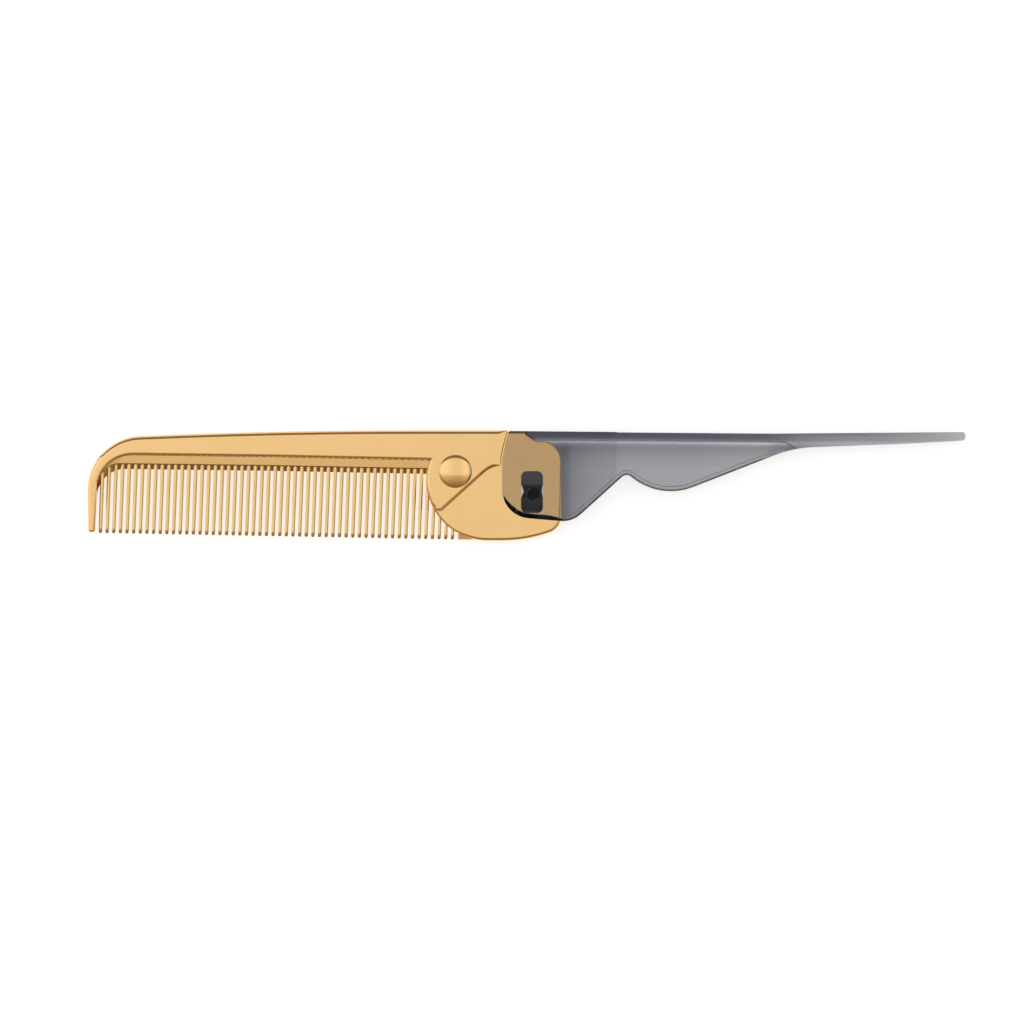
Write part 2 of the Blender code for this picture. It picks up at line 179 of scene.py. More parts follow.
# Thumb dome
DOME_CENTRE = (-18.55, 5.4)
DOME_RADIUS = 4.0
DOME_HEIGHT = 1.0
DOME_SHOULDER = (1.9, 0.84)
DOME_CROWN_TILT = math.radians(16.8)
DOME_SINK = 0.3
DOME_SIDES = 96
DOME_SHOULDER_STEPS = 8
DOME_CROWN_STEPS = 12

# Pivot pin and block
PIN_RADIUS = 1.5
PIN_HALF_LENGTH = 2.3
PIN_EDGE = 0.2
BORE_RADIUS = 1.52
ROUND_SIDES = 96
BLOCK_GAP = 0.02
BLOCK_WAIST = (2.1, 0.7, 1.2)
BLOCK_WAIST_REACH = 1.7
BLOCK_SHOULDER_RADIUS = 0.4
BLOCK_EDGE = 0.15

# Handle
BACK_TOP = 15.1
EAR_CORNERS = [(-5.75, BACK_TOP, 0.5), (-7.42, 8.7, 20)]
HEEL_CORNERS = [(-7.39, -5.3, 7.0), (9.45, -6.72, 6.5)]
NOTCH = (22.45, 5.05, 1.7)
BUMP = (30.6, -1.42, 14.8)
TAIL_ROOT = (62.56, 11.04, 28)
TAIL_BEND = (90, 12.1, 100)
TIP_X = 103.95
TIP_CORNERS = [(TIP_X, 12.85, 0.9), (TIP_X, 14.9, 0.8)]
BACK_DIP = (57, 14.5, 400)
EAR_END = 19.4
EAR_END_RAMP = 1.2
EAR_END_TOP = 14.9
SHEATH_TOP = 14.78
# Above this height the handle's outline is its back
ON_BACK = SHEATH_TOP - 1
BACK_START = [(-1.4, TAB_STEP + RUNNING_GAP, 0.4), (0.8, 13.3, 1.0)]
GAP_END = [(64.5, 10.3, 0), (60.5, 12.8, 4.0)]
# The gap's roof under the back is round, and a strip of each wall beside it is thinner
ROOF_ROUND = (0.9, 0.5)
ROOF_STRIP_DEPTH = 0.2
ROOF_STRIP_ENDS = (0.95, 1.6)
# On its open side each wall has a bead on the inside, with a bevel at the bead's outer edge
LIP_OUTSIDE = 0.6
LIP_SLOPE = 1.1
BEAD_HEIGHT = [(7, 0.02), (10, 0.25)]
BEAD_WIDTH = 0.5
# The bevel's width by y round the ears' lower corner, and by x elsewhere
LIP_WIDTH_LEFT = [(-3.4, 1.2), (0.6, 0.15)]
LIP_WIDTH_RIGHT = [(5.8, 1.2), (7.2, 0.5)]
LIP_END_STEP = 0.1
LIP_POINT_GAP = 1.0
GAP_FADE = 0.18
SEAT_DEPTH = 2.4
SEAT_OVERLAP = 0.2
# Widths of the outer edges at the back, and by x on the open side
BACK_EDGE = 0.3
BACK_EDGE_FOOT = 12.1
OPEN_EDGE = [(5, 0.4), (8, 0.12)]
HANDLE_EDGE_DEPTH = 0.28
HANDLE_HALF = [(-10, 3.1), (EAR_END, 3.1), (EAR_END + EAR_END_RAMP, 2.75), (40, 2.5), (64, 1.9),
               (75, 1.45), (85, 1.42), (TIP_X, 1.0)]
GAP_HALF = [(-20, EAR_GAP_HALF), (EAR_END, EAR_GAP_HALF), (EAR_END + EAR_END_RAMP, 1.6),
            (54, 1.25), (GAP_END[0][0], 0.35)]
TAIL_WEDGE = [(60, 0), (70, 0.1)]

# Looks. A noise is (stretch along each axis, scale, detail), heights of bumps are in metres, and
# a tint or light has rows of (place, colour)
NOISE_RANGE = (0.3, 0.7)
WHITE = (1, 1, 1)
GOLD_TINTS = [(0.3, (0.86, 0.552, 0.246)), (0.7, (0.84, 0.542, 0.228))]
GOLD_PATCHES = ((1, 2, 2), 90, 3)
GOLD_MARKS = ((0.25, 4, 4), 900, 4)
GOLD_ROUGHNESS = (0.05, 0.13)
GOLD_WAVES = ((1, 1.4, 1), 260, 2)
GOLD_WAVE_HEIGHT = 0.000012

SMOKE_IOR = 1.5
SMOKE_GLOSS_TINT = (0.14, 0.14, 0.14, 1)
SMOKE_DEPTH_COLOUR = (0.3, 0.31, 0.4, 1)
SMOKE_DENSITY = 255
SMOKE_MARKS = ((0.2, 3, 3), 700, 3)
SMOKE_ROUGHNESS = (0.01, 0.05)
SMOKE_FLOW = ((0.3, 1, 1), 300, 2)
SMOKE_FLOW_HEIGHT = 0.000008
# Rows of (place in millimetres, red and green, blue): the plastic's grey with painted light and
# shade.
# The sheath darkens towards its back. It has a painted bright strip just under the back and
# painted shade in the thick back itself. The tail has a painted lighter strip near its lower edge.
# Next to the tab there is a painted shadow of the tab and a painted dark line where the ears end.
# Those of the sheath and the tail go by height, and those of the part next to the tab go by x
SHADE_REACH = (-8, 16)
SHEATH_GREY_AND_PAINTED_LIGHT = [
    (0, 0.82, 0.83), (6, 0.81, 0.82), (9, 0.76, 0.77), (10.5, 0.7, 0.71), (11.5, 0.68, 0.69),
    (12, 0.73, 0.75), (12.3, 0.93, 0.97), (12.9, 0.95, 1.0), (13.15, 0.68, 0.7),
    (13.3, 0.46, 0.48), (13.6, 0.37, 0.39), (14.2, 0.29, 0.31), (15.1, 0.27, 0.29),
]
TAIL_GREY_AND_PAINTED_LIGHT = [
    (11.3, 0.56, 0.57), (11.7, 0.63, 0.64), (12, 0.69, 0.7), (12.24, 0.73, 0.74),
    (12.5, 0.66, 0.67), (12.7, 0.58, 0.6), (12.96, 0.485, 0.51), (13.2, 0.49, 0.51),
    (13.7, 0.45, 0.47), (14.16, 0.35, 0.37), (14.7, 0.33, 0.35),
]
NEAR_TAB_REACH = (6, 20)
NEAR_TAB_PAINTED_SHADOW = [
    (6.2, 0.74, 0.74), (7.4, 0.69, 0.69), (8.9, 0.8, 0.8), (9.5, 0.86, 0.86),
    (13.7, 0.95, 0.94), (19.25, 1, 0.99), (19.4, 0.965, 0.965), (19.6, 0.965, 0.965),
    (19.75, 1, 1),
]
# The painted bright line under the back sinks by this much between these places along the sheath
SHADE_SINK_FROM = (11, 60)
SHADE_SINK = (0, 0.5)
# Places along x where one shade fades into the next, and along y where the one near the tab ends
SHEATH_TO_TAIL = (56, 64)
TAIL_FADE = (78, 104)
# The tail's thin end is painted lighter
TAIL_END_PAINTED_LIGHT = (0.6, 0.6, 0.6)
NEAR_TAB_FADE = (11, 12.8)
# For the tint and its painted light and shade, which turn clear over the tab: the tab's top at its
# left end, and how far the tint fades over the tab's outline
TAB_TOP_LEFT = 14.6
TAB_FRINGE = (-0.15, 0.05)

BLACK_TINTS = [(0.3, (0.75, 0.75, 0.78)), (0.7, (1, 0.98, 1))]
BLACK_PATCHES = ((1, 1, 1), 500, 3)
BLACK_GRAIN = ((1, 1, 1), 6000, 2)
BLACK_GRAIN_HEIGHT = 0.000006
BLACK_ROUGHNESS_SPREAD = 0.12
BLACK_BLUE = 1.1
BLACK_REACH = (-5, 6)
# Rows of (y, grey). On the block they are painted light and shade: a lighter upper lobe, a painted
# highlight just below the pin, and painted shade at its foot
BLOCK_PAINTED_LIGHT_AND_SHADE = [(-3.9, 0.012), (-3.2, 0.04), (-2.4, 0.045), (-1.3, 0.06), (-0.8, 0.012),
                (1.7, 0.006), (2.6, 0.2), (5.5, 0.21)]
BLOCK_ROUGHNESS = 0.25
BLOCK_GLOSS = 0.3
PIN_SHADES = [(-1.5, 0.005), (1.5, 0.002)]
PIN_ROUGHNESS = 0.3
PIN_GLOSS = 0.03

# Floor, with its radius and its drop in metres
FLOOR_RADIUS = 4
FLOOR_SIDES = 64
FLOOR_DROP = 0.00002
FLOOR_GREY = (0.6, 0.6, 0.6, 1)
FLOOR_GLOW = 0.68

# Light: across the comb it goes by a direction's y, which counts more near the horizon, and
# along the comb by the direction's x. A pair is what a value is multiplied by, and what is added
LIGHT_LOWNESS = (-0.5, 1.5)
LIGHT_REACH = (0.4, 0.5)
LIGHT_ACROSS = [
    (0.0, (0.2, 0.13, 0.06)), (0.06, (0.3, 0.22, 0.13)), (0.2, (0.32, 0.25, 0.16)),
    (0.265, (0.34, 0.28, 0.2)), (0.335, (0.5, 0.43, 0.34)), (0.36, (0.6, 0.5, 0.41)),
    (0.42, (0.74, 0.63, 0.55)), (0.44, (0.9, 0.87, 0.83)), (0.46, (0.98, 0.97, 0.96)),
    (0.5, (1, 1, 1)), (0.68, (1, 1, 1)), (0.74, (0.93, 0.93, 0.93)), (0.8, (0.36, 0.34, 0.31)),
    (0.86, (0.14, 0.12, 0.1)), (1.0, (0.28, 0.25, 0.21)),
]
LIGHT_PLACE = (0.5, 0.5)
LIGHT_LENGTHWISE = [
    (0.0, (0.74, 0.86, 0.97)), (0.1, (0.86, 0.91, 0.96)), (0.2, (0.96, 0.96, 0.95)),
    (0.3, (0.9, 0.9, 0.9)), (0.5, (0.75, 0.75, 0.75)), (0.62, (0.79, 0.79, 0.79)),
    (0.72, (0.92, 0.92, 0.92)), (0.8, (0.82, 0.83, 0.84)), (0.9, (0.45, 0.5, 0.57)),
    (1.0, (0.29, 0.34, 0.41)),
]
LIGHT_STRENGTH = 1.3

# Camera: the photograph's frame, looking straight down
FRAME_CENTRE = (-4.99, -4.32)
FRAME_WIDTH = 245.8
FRAME_HEIGHT = 4.5
LENS = 130
SENSOR = 36
# In metres
CLIP_START = 0.01
CLIP_END = 20


def arc_steps(sweep, radius):
    by_sag = sweep * math.sqrt(radius / (8 * ARC_SAG))
    return max(2, math.ceil(sweep / ARC_STEP), math.ceil(by_sag))


def rounded(corners, closed=True, steps_each=None):
    """An outline's points, with each corner (x, y, radius) rounded by an arc."""
    points = []
    last = len(corners) - 1
    for i, (x, y, radius) in enumerate(corners):
        corner = Vector((x, y))
        if not radius or (not closed and i in (0, last)):
            points.append(corner)
            continue
        to_before = (Vector(corners[i - 1][:2]) - corner).normalized()
        to_after = (Vector(corners[(i + 1) % (last + 1)][:2]) - corner).normalized()
        half = to_before.angle(to_after) / 2
        centre = corner + (to_before + to_after).normalized() * radius / math.sin(half)
        start = corner + to_before * radius / math.tan(half) - centre
        sweep = math.pi - 2 * half
        turn = math.copysign(sweep, to_after.x * to_before.y - to_after.y * to_before.x)
        steps = steps_each or arc_steps(sweep, radius)
        for step in range(steps + 1):
            points.append(centre + Matrix.Rotation(turn * step / steps, 2) @ start)
    return points


def on_circle(centre, radius, angles):
    return [Vector(centre) + radius * Vector((math.cos(a), math.sin(a))) for a in angles]


def arc(centre, radius, start_deg, end_deg):
    sweep = end_deg - start_deg
    steps = arc_steps(math.radians(abs(sweep)), radius)
    angles = [math.radians(start_deg + sweep * i / steps) for i in range(steps + 1)]
    return on_circle(centre, radius, angles)


def circle(centre, radius, sides):
    return on_circle(centre, radius, [2 * math.pi * i / sides for i in range(sides)])


def counterclockwise(outline):
    area = sum(a.x * b.y - b.x * a.y for a, b in zip(outline, outline[1:] + outline[:1]))
    return outline if area > 0 else outline[::-1]


def inset(outline, distances):
    """A counterclockwise outline with each point moved inwards by its distance."""
    moved = []
    before = outline[-1:] + outline[:-1]
    after = outline[1:] + outline[:1]
    for a, point, b, distance in zip(before, outline, after, distances):
        first = (point - a).normalized().orthogonal()
        second = (b - point).normalized().orthogonal()
        moved.append(point + (first + second) / (1 + first.dot(second)) * distance)
    return moved


def edge_radii(outline, radii, fade=EDGE_FADE):
    """Edge radii along an outline, made smaller where the edge would fold over itself."""
    count = len(outline)
    lengths = [(outline[(i + 1) % count] - outline[i]).length for i in range(count)]
    radii = list(radii)
    for _ in range(EDGE_ROUNDS):
        for order in (range(-count, count), range(count, -count, -1)):
            step = 1 if order[0] < 0 else -1
            for i in order:
                here, there = i % count, (i - step) % count
                gap = lengths[there if step > 0 else here]
                radii[here] = min(radii[here], radii[there] + fade * gap)
        moved = inset(outline, radii)
        folded = []
        for i in range(count):
            j = (i + 1) % count
            along_edge = (moved[j] - moved[i]).dot(outline[j] - outline[i])
            if along_edge < EDGE_LEAST_SHARE * lengths[i]**2:
                folded.append(i)
        if not folded:
            break
        for i in folded:
            radii[i] *= EDGE_SHRINK
            radii[(i + 1) % count] *= EDGE_SHRINK
    return radii


def half_turned(outline):
    return [-point for point in outline]


def along(table, x):
    """A value read from a table of (x, value) rows by straight lines."""
    if x <= table[0][0]:
        return table[0][1]
    for (x0, v0), (x1, v1) in zip(table, table[1:]):
        if x <= x1:
            return v0 + (v1 - v0) * (x - x0) / (x1 - x0)
    return table[-1][1]


def height_at(path, x):
    return along(sorted((point.x, point.y) for point in path), x)


def tidy_outline(outline):
    """The outline without points that lie nearly on the one before."""
    kept = []
    for point in outline:
        if not kept or (point - kept[-1]).length > LEAST_STEP:
            kept.append(point)
    while (kept[0] - kept[-1]).length <= LEAST_STEP:
        kept.pop()
    return kept


def object_from(bm, name):
    """A new object on the middle plane."""
    bmesh.ops.recalc_face_normals(bm, faces=bm.faces)
    bmesh.ops.translate(bm, vec=(0, 0, MIDDLE), verts=bm.verts)
    bmesh.ops.scale(bm, vec=(MM, MM, MM), verts=bm.verts)
    mesh = bpy.data.meshes.new(name)
    bm.to_mesh(mesh)
    bm.free()
    obj = bpy.data.objects.new(name, mesh)
    bpy.context.scene.collection.objects.link(obj)
    return obj


def add_rings(bm, rings):
    """Faces between rings of equal length, with flat ends."""
    rows = [[bm.verts.new(point) for point in ring] for ring in rings]
    for low, high in zip(rows, rows[1:]):
        for i, vert in enumerate(low):
            j = (i + 1) % len(low)
            bm.faces.new((vert, low[j], high[j], high[i]))
    bm.faces.new(rows[0][::-1])
    bm.faces.new(rows[-1])


def add_slab(bm, outline, low, high):
    add_rings(bm, [[(p.x, p.y, z) for p in outline] for z in (low, high)])


def slab(name, outline, low, high):
    bm = bmesh.new()
    add_slab(bm, counterclockwise(outline), low, high)
    return object_from(bm, name)


def shaped_slab(name, outline, profiles, half_at, creases=()):
    """A slab with a counterclockwise outline whose half thickness follows half_at(x, y).

    Each outline point has a profile of the slab's edge: rows of (distance inwards, distance
    below the face), from the outline to the face. Each crease is a plane, as (place, normal,
    test), that cuts the faces whose centres pass the test, so that the thickness can bend there.
    """
    rings = []
    for side in (-1, 1):
        for row in list(zip(*profiles))[::side]:
            ring = inset(outline, [inwards for inwards, _ in row])
            rings.append([(point.x, point.y, side * (SLAB_HALF - below))
                          for point, (_, below) in zip(ring, row)])
    bm = bmesh.new()
    add_rings(bm, rings)
    for place, normal, test in creases:
        chosen = [face for face in bm.faces if test(face.calc_center_median())]
        edges = {edge for face in chosen for edge in face.edges}
        verts = {vert for face in chosen for vert in face.verts}
        bmesh.ops.bisect_plane(bm, geom=chosen + list(edges) + list(verts), dist=ON_CUT,
                               plane_co=place, plane_no=normal)
    for vert in bm.verts:
        side = math.copysign(1, vert.co.z)
        vert.co.z = side * (half_at(vert.co.x, vert.co.y) - SLAB_HALF + abs(vert.co.z))
    return object_from(bm, name)


def quarter_round(width, depth):
    turns = [math.pi / 2 * i / ROUND_STEPS for i in range(ROUND_STEPS + 1)]
    return [(width * (1 - math.cos(turn)), depth * (1 - math.sin(turn))) for turn in turns]


def soft_slab(name, outline, half_at, wanted, creases=(), depth_at=lambda point, radius: radius):
    """A slab with rounded edges of the wanted widths, as deep as depth_at says."""
    outline = counterclockwise(tidy_outline(outline))
    radii = edge_radii(outline, [wanted(point) for point in outline])
    profiles = [quarter_round(r, depth_at(point, r)) for point, r in zip(outline, radii)]
    return shaped_slab(name, outline, profiles, half_at, creases)


def joined(name, target, *steps):
    """One new object from a target and Boolean steps of (operation, other object)."""
    others = [other for _, other in steps]
    for operation, other in steps:
        modifier = target.modifiers.new(other.name, "BOOLEAN")
        modifier.operation = operation
        modifier.solver = "EXACT"
        modifier.object = other
    graph = bpy.context.evaluated_depsgraph_get()
    mesh = bpy.data.meshes.new_from_object(target.evaluated_get(graph))
    mesh.name = name
    obj = bpy.data.objects.new(name, mesh)
    bpy.context.scene.collection.objects.link(obj)
    for used in [target, *others]:
        bpy.data.objects.remove(used)
    return obj


def trimmed(outline, *cutters):
    """The outline of what the cutters' outlines leave of it."""
    base = slab("trimmed", outline, -TRIM_HALF, TRIM_HALF)
    steps = [("DIFFERENCE", slab(f"trim_{i}", cutter, -2 * TRIM_HALF, 2 * TRIM_HALF))
             for i, cutter in enumerate(cutters)]
    obj = joined("trimmed_result", base, *steps)
    top = (MIDDLE + TRIM_HALF) * MM
    bm = bmesh.new()
    bm.from_mesh(obj.data)
    follow = {}
    for face in bm.faces:
        if face.normal.z > FACES_UP and abs(face.calc_center_median().z - top) < SAME_HEIGHT:
            for loop in face.loops:
                other = loop.link_loop_radial_next.face
                if other.normal.z < FACES_UP:
                    follow[loop.vert.index] = loop.link_loop_next.vert.index
    bm.verts.ensure_lookup_table()
    loops = []
    while follow:
        start, _ = next(iter(follow.items()))
        ring = [start]
        while follow.get(ring[-1]) is not None and (len(ring) == 1 or ring[-1] != start):
            ring.append(follow.pop(ring[-1]))
        loops.append([Vector(bm.verts[i].co.xy) / MM for i in ring[:-1]])
    bm.free()
    bpy.data.objects.remove(obj)
    return max(loops, key=len)


def comb_outline():
    """The spine, the guard tooth, the end plate and the tab as one outline."""
    left_top = SPINE_TOP - (SPINE_BEND - COMB_LEFT) * math.tan(SPINE_SLOPE)
    thick_end = EAR_CORNERS[0][0] - RUNNING_GAP
    corners = [
        (GUARD_INNER, GUARD_ROOT, 0),
        *GUARD_TIP_CORNERS,
        (COMB_LEFT, left_top, SPINE_CORNER_RADIUS),
        (SPINE_BEND, SPINE_TOP, SPINE_BEND_RADIUS),
        (SPINE_SOFT_END, SPINE_TOP, 0),
        (thick_end, SPINE_TOP, 0),
        (thick_end, TAB_SHOULDER, 0),
        *TAB_CORNERS,
        (DISC_CENTRE[0], COMB_BOTTOM, 0),
    ]
    root = [(*ROOT_LINE[0], 0), (*ROOT_LINE[1], 0), ROOT_CORNER, (GUARD_INNER, GUARD_ROOT, 0)]
    top = Vector(ROOT_LINE[0]) - Vector(DISC_CENTRE)
    top_angle = math.degrees(math.atan2(top.y, top.x))
    disc = arc(DISC_CENTRE, DISC_RADIUS, DISC_START_ANGLE, top_angle)
    return rounded(corners, closed=False) + disc[:-1] + rounded(root, closed=False)[:-1]


def handle_outline():
    ramp_end = EAR_END + EAR_END_RAMP
    back = [BACK_DIP, (ramp_end, SHEATH_TOP, 0), (EAR_END, EAR_END_TOP, 0)]
    return rounded(EAR_CORNERS + HEEL_CORNERS + [NOTCH, BUMP, TAIL_ROOT, TAIL_BEND]
                   + TIP_CORNERS + back)


def spine_half(x, y):
    half = along([(COMB_LEFT, SPINE_END_HALF), (TAPER_START, MIDDLE)], x)
    if x < TAPER_START and y < GUARD_TAPER_START:
        share = (GUARD_TAPER_START - y) / (GUARD_TAPER_START - GUARD_TIP)
        half += (GUARD_TIP_HALF - SPINE_END_HALF) * share
    return half


def spine_edge(point):
    """The spine's outer edge is the softest; the edges beside the web and the ears are crisp."""
    x, y = point
    if y > (SPINE_EDGE_FOOT if x < SPINE_EDGE_RIGHT else SPINE_TOP - ON_LINE):
        return SPINE_EDGE
    from_centre = (point - Vector(SPINE_CORNER_CENTRE)).length
    if x < SPINE_CORNER_CENTRE[0] and from_centre > SPINE_CORNER_RADIUS - CORNER_EDGE_REACH:
        return along(CORNER_EDGE, y)
    if x < PLATE_LEFT:
        return INNER_EDGE
    if (point - Vector(DISC_CENTRE)).length > DISC_RADIUS - ON_RIM:
        return RIM_EDGE if y < RIM_EDGE_TOP else INNER_EDGE
    return STEP_EDGE if y < STEP_EDGE_TOP else EAR_SIDE_EDGE


def spine_edge_depth(point, radius):
    """Beside the web the rounded edge ends above it."""
    x, y = point
    if GUARD_INNER - ON_LINE < x < PLATE_LEFT and y < ROOT_CORNER[1] + ON_LINE:
        return min(radius, spine_half(x, y) - WEB_ROOT_HALF - EDGE_ABOVE_WEB)
    return radius


def tab_edge(point):
    return along(TAB_LOWER_EDGE, point.x) if point.y < TAB_LOWER_EDGE_TOP else TAB_EDGE


def web_path(corner, drop):
    (x0, y0), (x1, y1) = ROOT_LINE
    x, y, radius = corner
    foot = y - radius - WEB_FOOT
    corners = [(x0 + WEB_IN_PLATE, y0 - drop, 0), (x1, y1 - drop, 0), corner, (x, foot, 0)]
    return rounded(corners, closed=False, steps_each=WEB_CORNER_STEPS)


def web():
    """The web: a plate that thins from the root line, then a wedge down to the middle plane."""
    inner = web_path((ROOT_CORNER[0] - WEB_OVERLAP, ROOT_CORNER[1] + WEB_OVERLAP, ROOT_CORNER[2]),
                     -WEB_OVERLAP)
    front = web_path(FRONT_CORNER, WEB_FRONT_DROP)
    apex = web_path(APEX_CORNER, WEB_APEX_DROP)
    in_guard = (COMB_LEFT + GUARD_INNER) / 2
    for path in (inner, front, apex):
        path.append(Vector((in_guard, path[-1].y - WEB_OVERLAP)))
    bm = bmesh.new()
    sections = []
    for i, f, a in zip(inner, front, apex):
        wedge = min((f - point).length for point in apex)
        half = min(WEB_FRONT_HALF, WEB_WEDGE_SLOPE * wedge)
        sections.append([(i.x, i.y, WEB_ROOT_HALF), (f.x, f.y, half), (a.x, a.y, 0),
                         (f.x, f.y, -half), (i.x, i.y, -WEB_ROOT_HALF)])
    add_rings(bm, sections)
    return object_from(bm, "web")


def tooth_section(place, size, width=1.0, thickness=1.0):
    """A tooth's section: a narrow flat ridge on each face, sloping shoulders, upright flanks."""
    flank, ridge, depth = (tip + (root - tip) * size
                           for tip, root in (TOOTH_FLANK, TOOTH_RIDGE, TOOTH_DEPTH))
    shoulder = depth - TOOTH_SHOULDER_SLOPE * (flank - ridge)
    quarter = [(flank, 0), (flank, shoulder), (ridge, depth)]
    upper = quarter + [(-x, z) for x, z in quarter[::-1]]
    section = upper + [(x, -z) for x, z in upper[-2:0:-1]]
    return [(place.x + x * width, place.y, z * thickness) for x, z in section]


def tooth_root(x):
    """Where a tooth starts: in the web, or under the rim of the end plate."""
    if x > ROOT_LINE[0][0]:
        rim = DISC_CENTRE[1] - math.sqrt(DISC_RADIUS**2 - (x - DISC_CENTRE[0])**2)
        return rim + TOOTH_IN_PLATE
    return height_at(web_path(FRONT_CORNER, WEB_FRONT_DROP), x) + TOOTH_IN_WEB


def teeth():
    bm = bmesh.new()
    for n in range(TOOTH_COUNT):
        tip = Vector((LAST_TOOTH_X - n * TOOTH_PITCH, LAST_TIP_Y + n * TOOTH_PITCH * TIP_SLOPE))
        length = tooth_root(tip.x + TOOTH_LEAN * TOOTH_LENGTH) - tip.y
        up = Vector((TOOTH_LEAN, 1))
        sections = []
        neck, neck_width = TOOTH_NECK
        rows = [row for row in TOOTH_END if row[0] < length - TOOTH_END_ROOM]
        if length > neck + TOOTH_NECK_ROOM:
            rows.append((length - neck, 1.0, 1.0))
        rows.append((length, neck_width, 1.0))
        for reach, width, thickness in rows:
            place = tip + up * reach
            sections.append(tooth_section(place, reach / TOOTH_LENGTH, width, thickness))
        add_rings(bm, sections)
    return object_from(bm, "teeth")


def blank():
    """The short toothless piece of web that shows beside the last tooth, thinner at its foot."""
    right = DISC_CENTRE[0]
    rings = []
    for y, half in zip((LAST_TIP_Y, BLANK_TOP), BLANK_HALVES):
        left = BLANK_LEFT + TOOTH_LEAN * (y - LAST_TIP_Y)
        rings.append([(left, y, -half), (right, y, -half), (right, y, half), (left, y, half)])
    bm = bmesh.new()
    add_rings(bm, rings)
    return object_from(bm, "blank")


def dome():
    """The raised round thumb rest: a shallow crown whose shoulder rolls over to a steep rim."""
    wide, tall = DOME_SHOULDER
    shoulder = DOME_RADIUS - wide
    turned = math.atan(tall / wide / math.tan(DOME_CROWN_TILT))
    crown = shoulder + wide * math.cos(turned)
    sphere = crown / math.sin(DOME_CROWN_TILT)
    top = MIDDLE + DOME_HEIGHT
    foot = top - sphere * (1 - math.cos(DOME_CROWN_TILT)) - tall * math.sin(turned)
    profile = [(DOME_RADIUS, MIDDLE - DOME_SINK), (DOME_RADIUS, foot)]
    for i in range(1, DOME_SHOULDER_STEPS + 1):
        turn = turned * i / DOME_SHOULDER_STEPS
        profile.append((shoulder + wide * math.cos(turn), foot + tall * math.sin(turn)))
    for i in range(1, DOME_CROWN_STEPS):
        tilt = DOME_CROWN_TILT * (1 - i / DOME_CROWN_STEPS)
        profile.append((sphere * math.sin(tilt), top - sphere * (1 - math.cos(tilt))))
    bm = bmesh.new()
    rings = []
    for radius, z in profile:
        rings.append([(point.x, point.y, z) for point in circle(DOME_CENTRE, radius, DOME_SIDES)])
    add_rings(bm, rings)
    return object_from(bm, "dome")


def comb_body():
    """The gold comb: thick plate, thin tab, web, teeth and dome, joined, with the tab's slot."""
    outline = comb_outline()
    handle = counterclockwise(handle_outline())
    clearance = inset(handle, [-RUNNING_GAP] * len(handle))
    thick = trimmed(outline, clearance, half_turned(clearance))
    creases = [
        ((TAPER_START, 0, 0), (1, 0, 0), lambda centre: True),
        ((0, GUARD_TAPER_START, 0), (0, 1, 0), lambda centre: centre.x < TAPER_START),
    ]
    plate = soft_slab("plate", thick, spine_half, spine_edge, creases, spine_edge_depth)
    thin = trimmed(outline, [Vector(corner) for corner in LEFT_OF_TAB])
    tab = soft_slab("tab", thin, lambda x, y: TAB_HALF, tab_edge)
    (x, y), w, h, r = SLOT_MIDDLE, SLOT_HALF_WIDTH, SLOT_HALF_LENGTH, SLOT_CORNER_RADIUS
    slot = rounded([(x - w, y - h, r), (x + w, y - h, r), (x + w, y + h, r), (x - w, y + h, r)])
    steps = [("UNION", part) for part in (tab, web(), teeth(), blank(), dome())]
    steps.append(("DIFFERENCE", slab("slot", slot, -MIDDLE, MIDDLE)))
    return joined("comb_gold", plate, *steps)


def block_body():
    """The black block in the tab's slot, drawn in at the pin, with the pin's bore."""
    w = SLOT_HALF_WIDTH - BLOCK_GAP
    h = SLOT_HALF_LENGTH - BLOCK_GAP
    x, y = SLOT_MIDDLE
    lobe = SLOT_CORNER_RADIUS - BLOCK_GAP
    waist_x, waist_y, waist_radius = BLOCK_WAIST
    upper = waist_y + BLOCK_WAIST_REACH
    lower = waist_y - BLOCK_WAIST_REACH
    shoulder = BLOCK_SHOULDER_RADIUS
    right = [(x + w, y + h, lobe), (x + w, upper, shoulder), (waist_x, waist_y, waist_radius),
             (x + w, lower, shoulder), (x + w, y - h, lobe)]
    left = [(x - w, y - h, lobe), (x - w, lower, shoulder), (-waist_x, waist_y, waist_radius),
            (x - w, upper, shoulder), (x - w, y + h, lobe)]
    block = soft_slab("block", rounded(right + left), lambda x, y: TAB_HALF,
                      lambda point: BLOCK_EDGE)
    bore = slab("bore", circle((0, 0), BORE_RADIUS, ROUND_SIDES), -MIDDLE, MIDDLE)
    return joined("pivot_block_black", block, ("DIFFERENCE", bore))


def pin_body():
    outline = circle((0, 0), PIN_RADIUS, ROUND_SIDES)
    return soft_slab("pivot_pin_black", outline, lambda x, y: PIN_HALF_LENGTH,
                     lambda point: PIN_EDGE)


def handle_half(x, y):
    """Half the handle's thickness; the tail is a little thinner towards its lower edge."""
    return along(HANDLE_HALF, x) - along(TAIL_WEDGE, x) * (BACK_TOP - y)


def handle_edge(point):
    """The handle's outer edges are soft at the ears and the back, and crisp on the open side."""
    return BACK_EDGE if point.y > BACK_EDGE_FOOT else along(OPEN_EDGE, point.x)


def lip_width(point):
    """The width of the lip's bevel: wide round the ears' lower corner, and narrow elsewhere."""
    return along(LIP_WIDTH_LEFT, point.y) if point.x < 0 else along(LIP_WIDTH_RIGHT, point.x)


def divided(path, longest):
    """The path with points added on its long straight runs."""
    points = [path[0]]
    for a, b in zip(path, path[1:]):
        parts = math.ceil((b - a).length / longest)
        points += [a.lerp(b, (i + 1) / parts) for i in range(parts)]
    return points


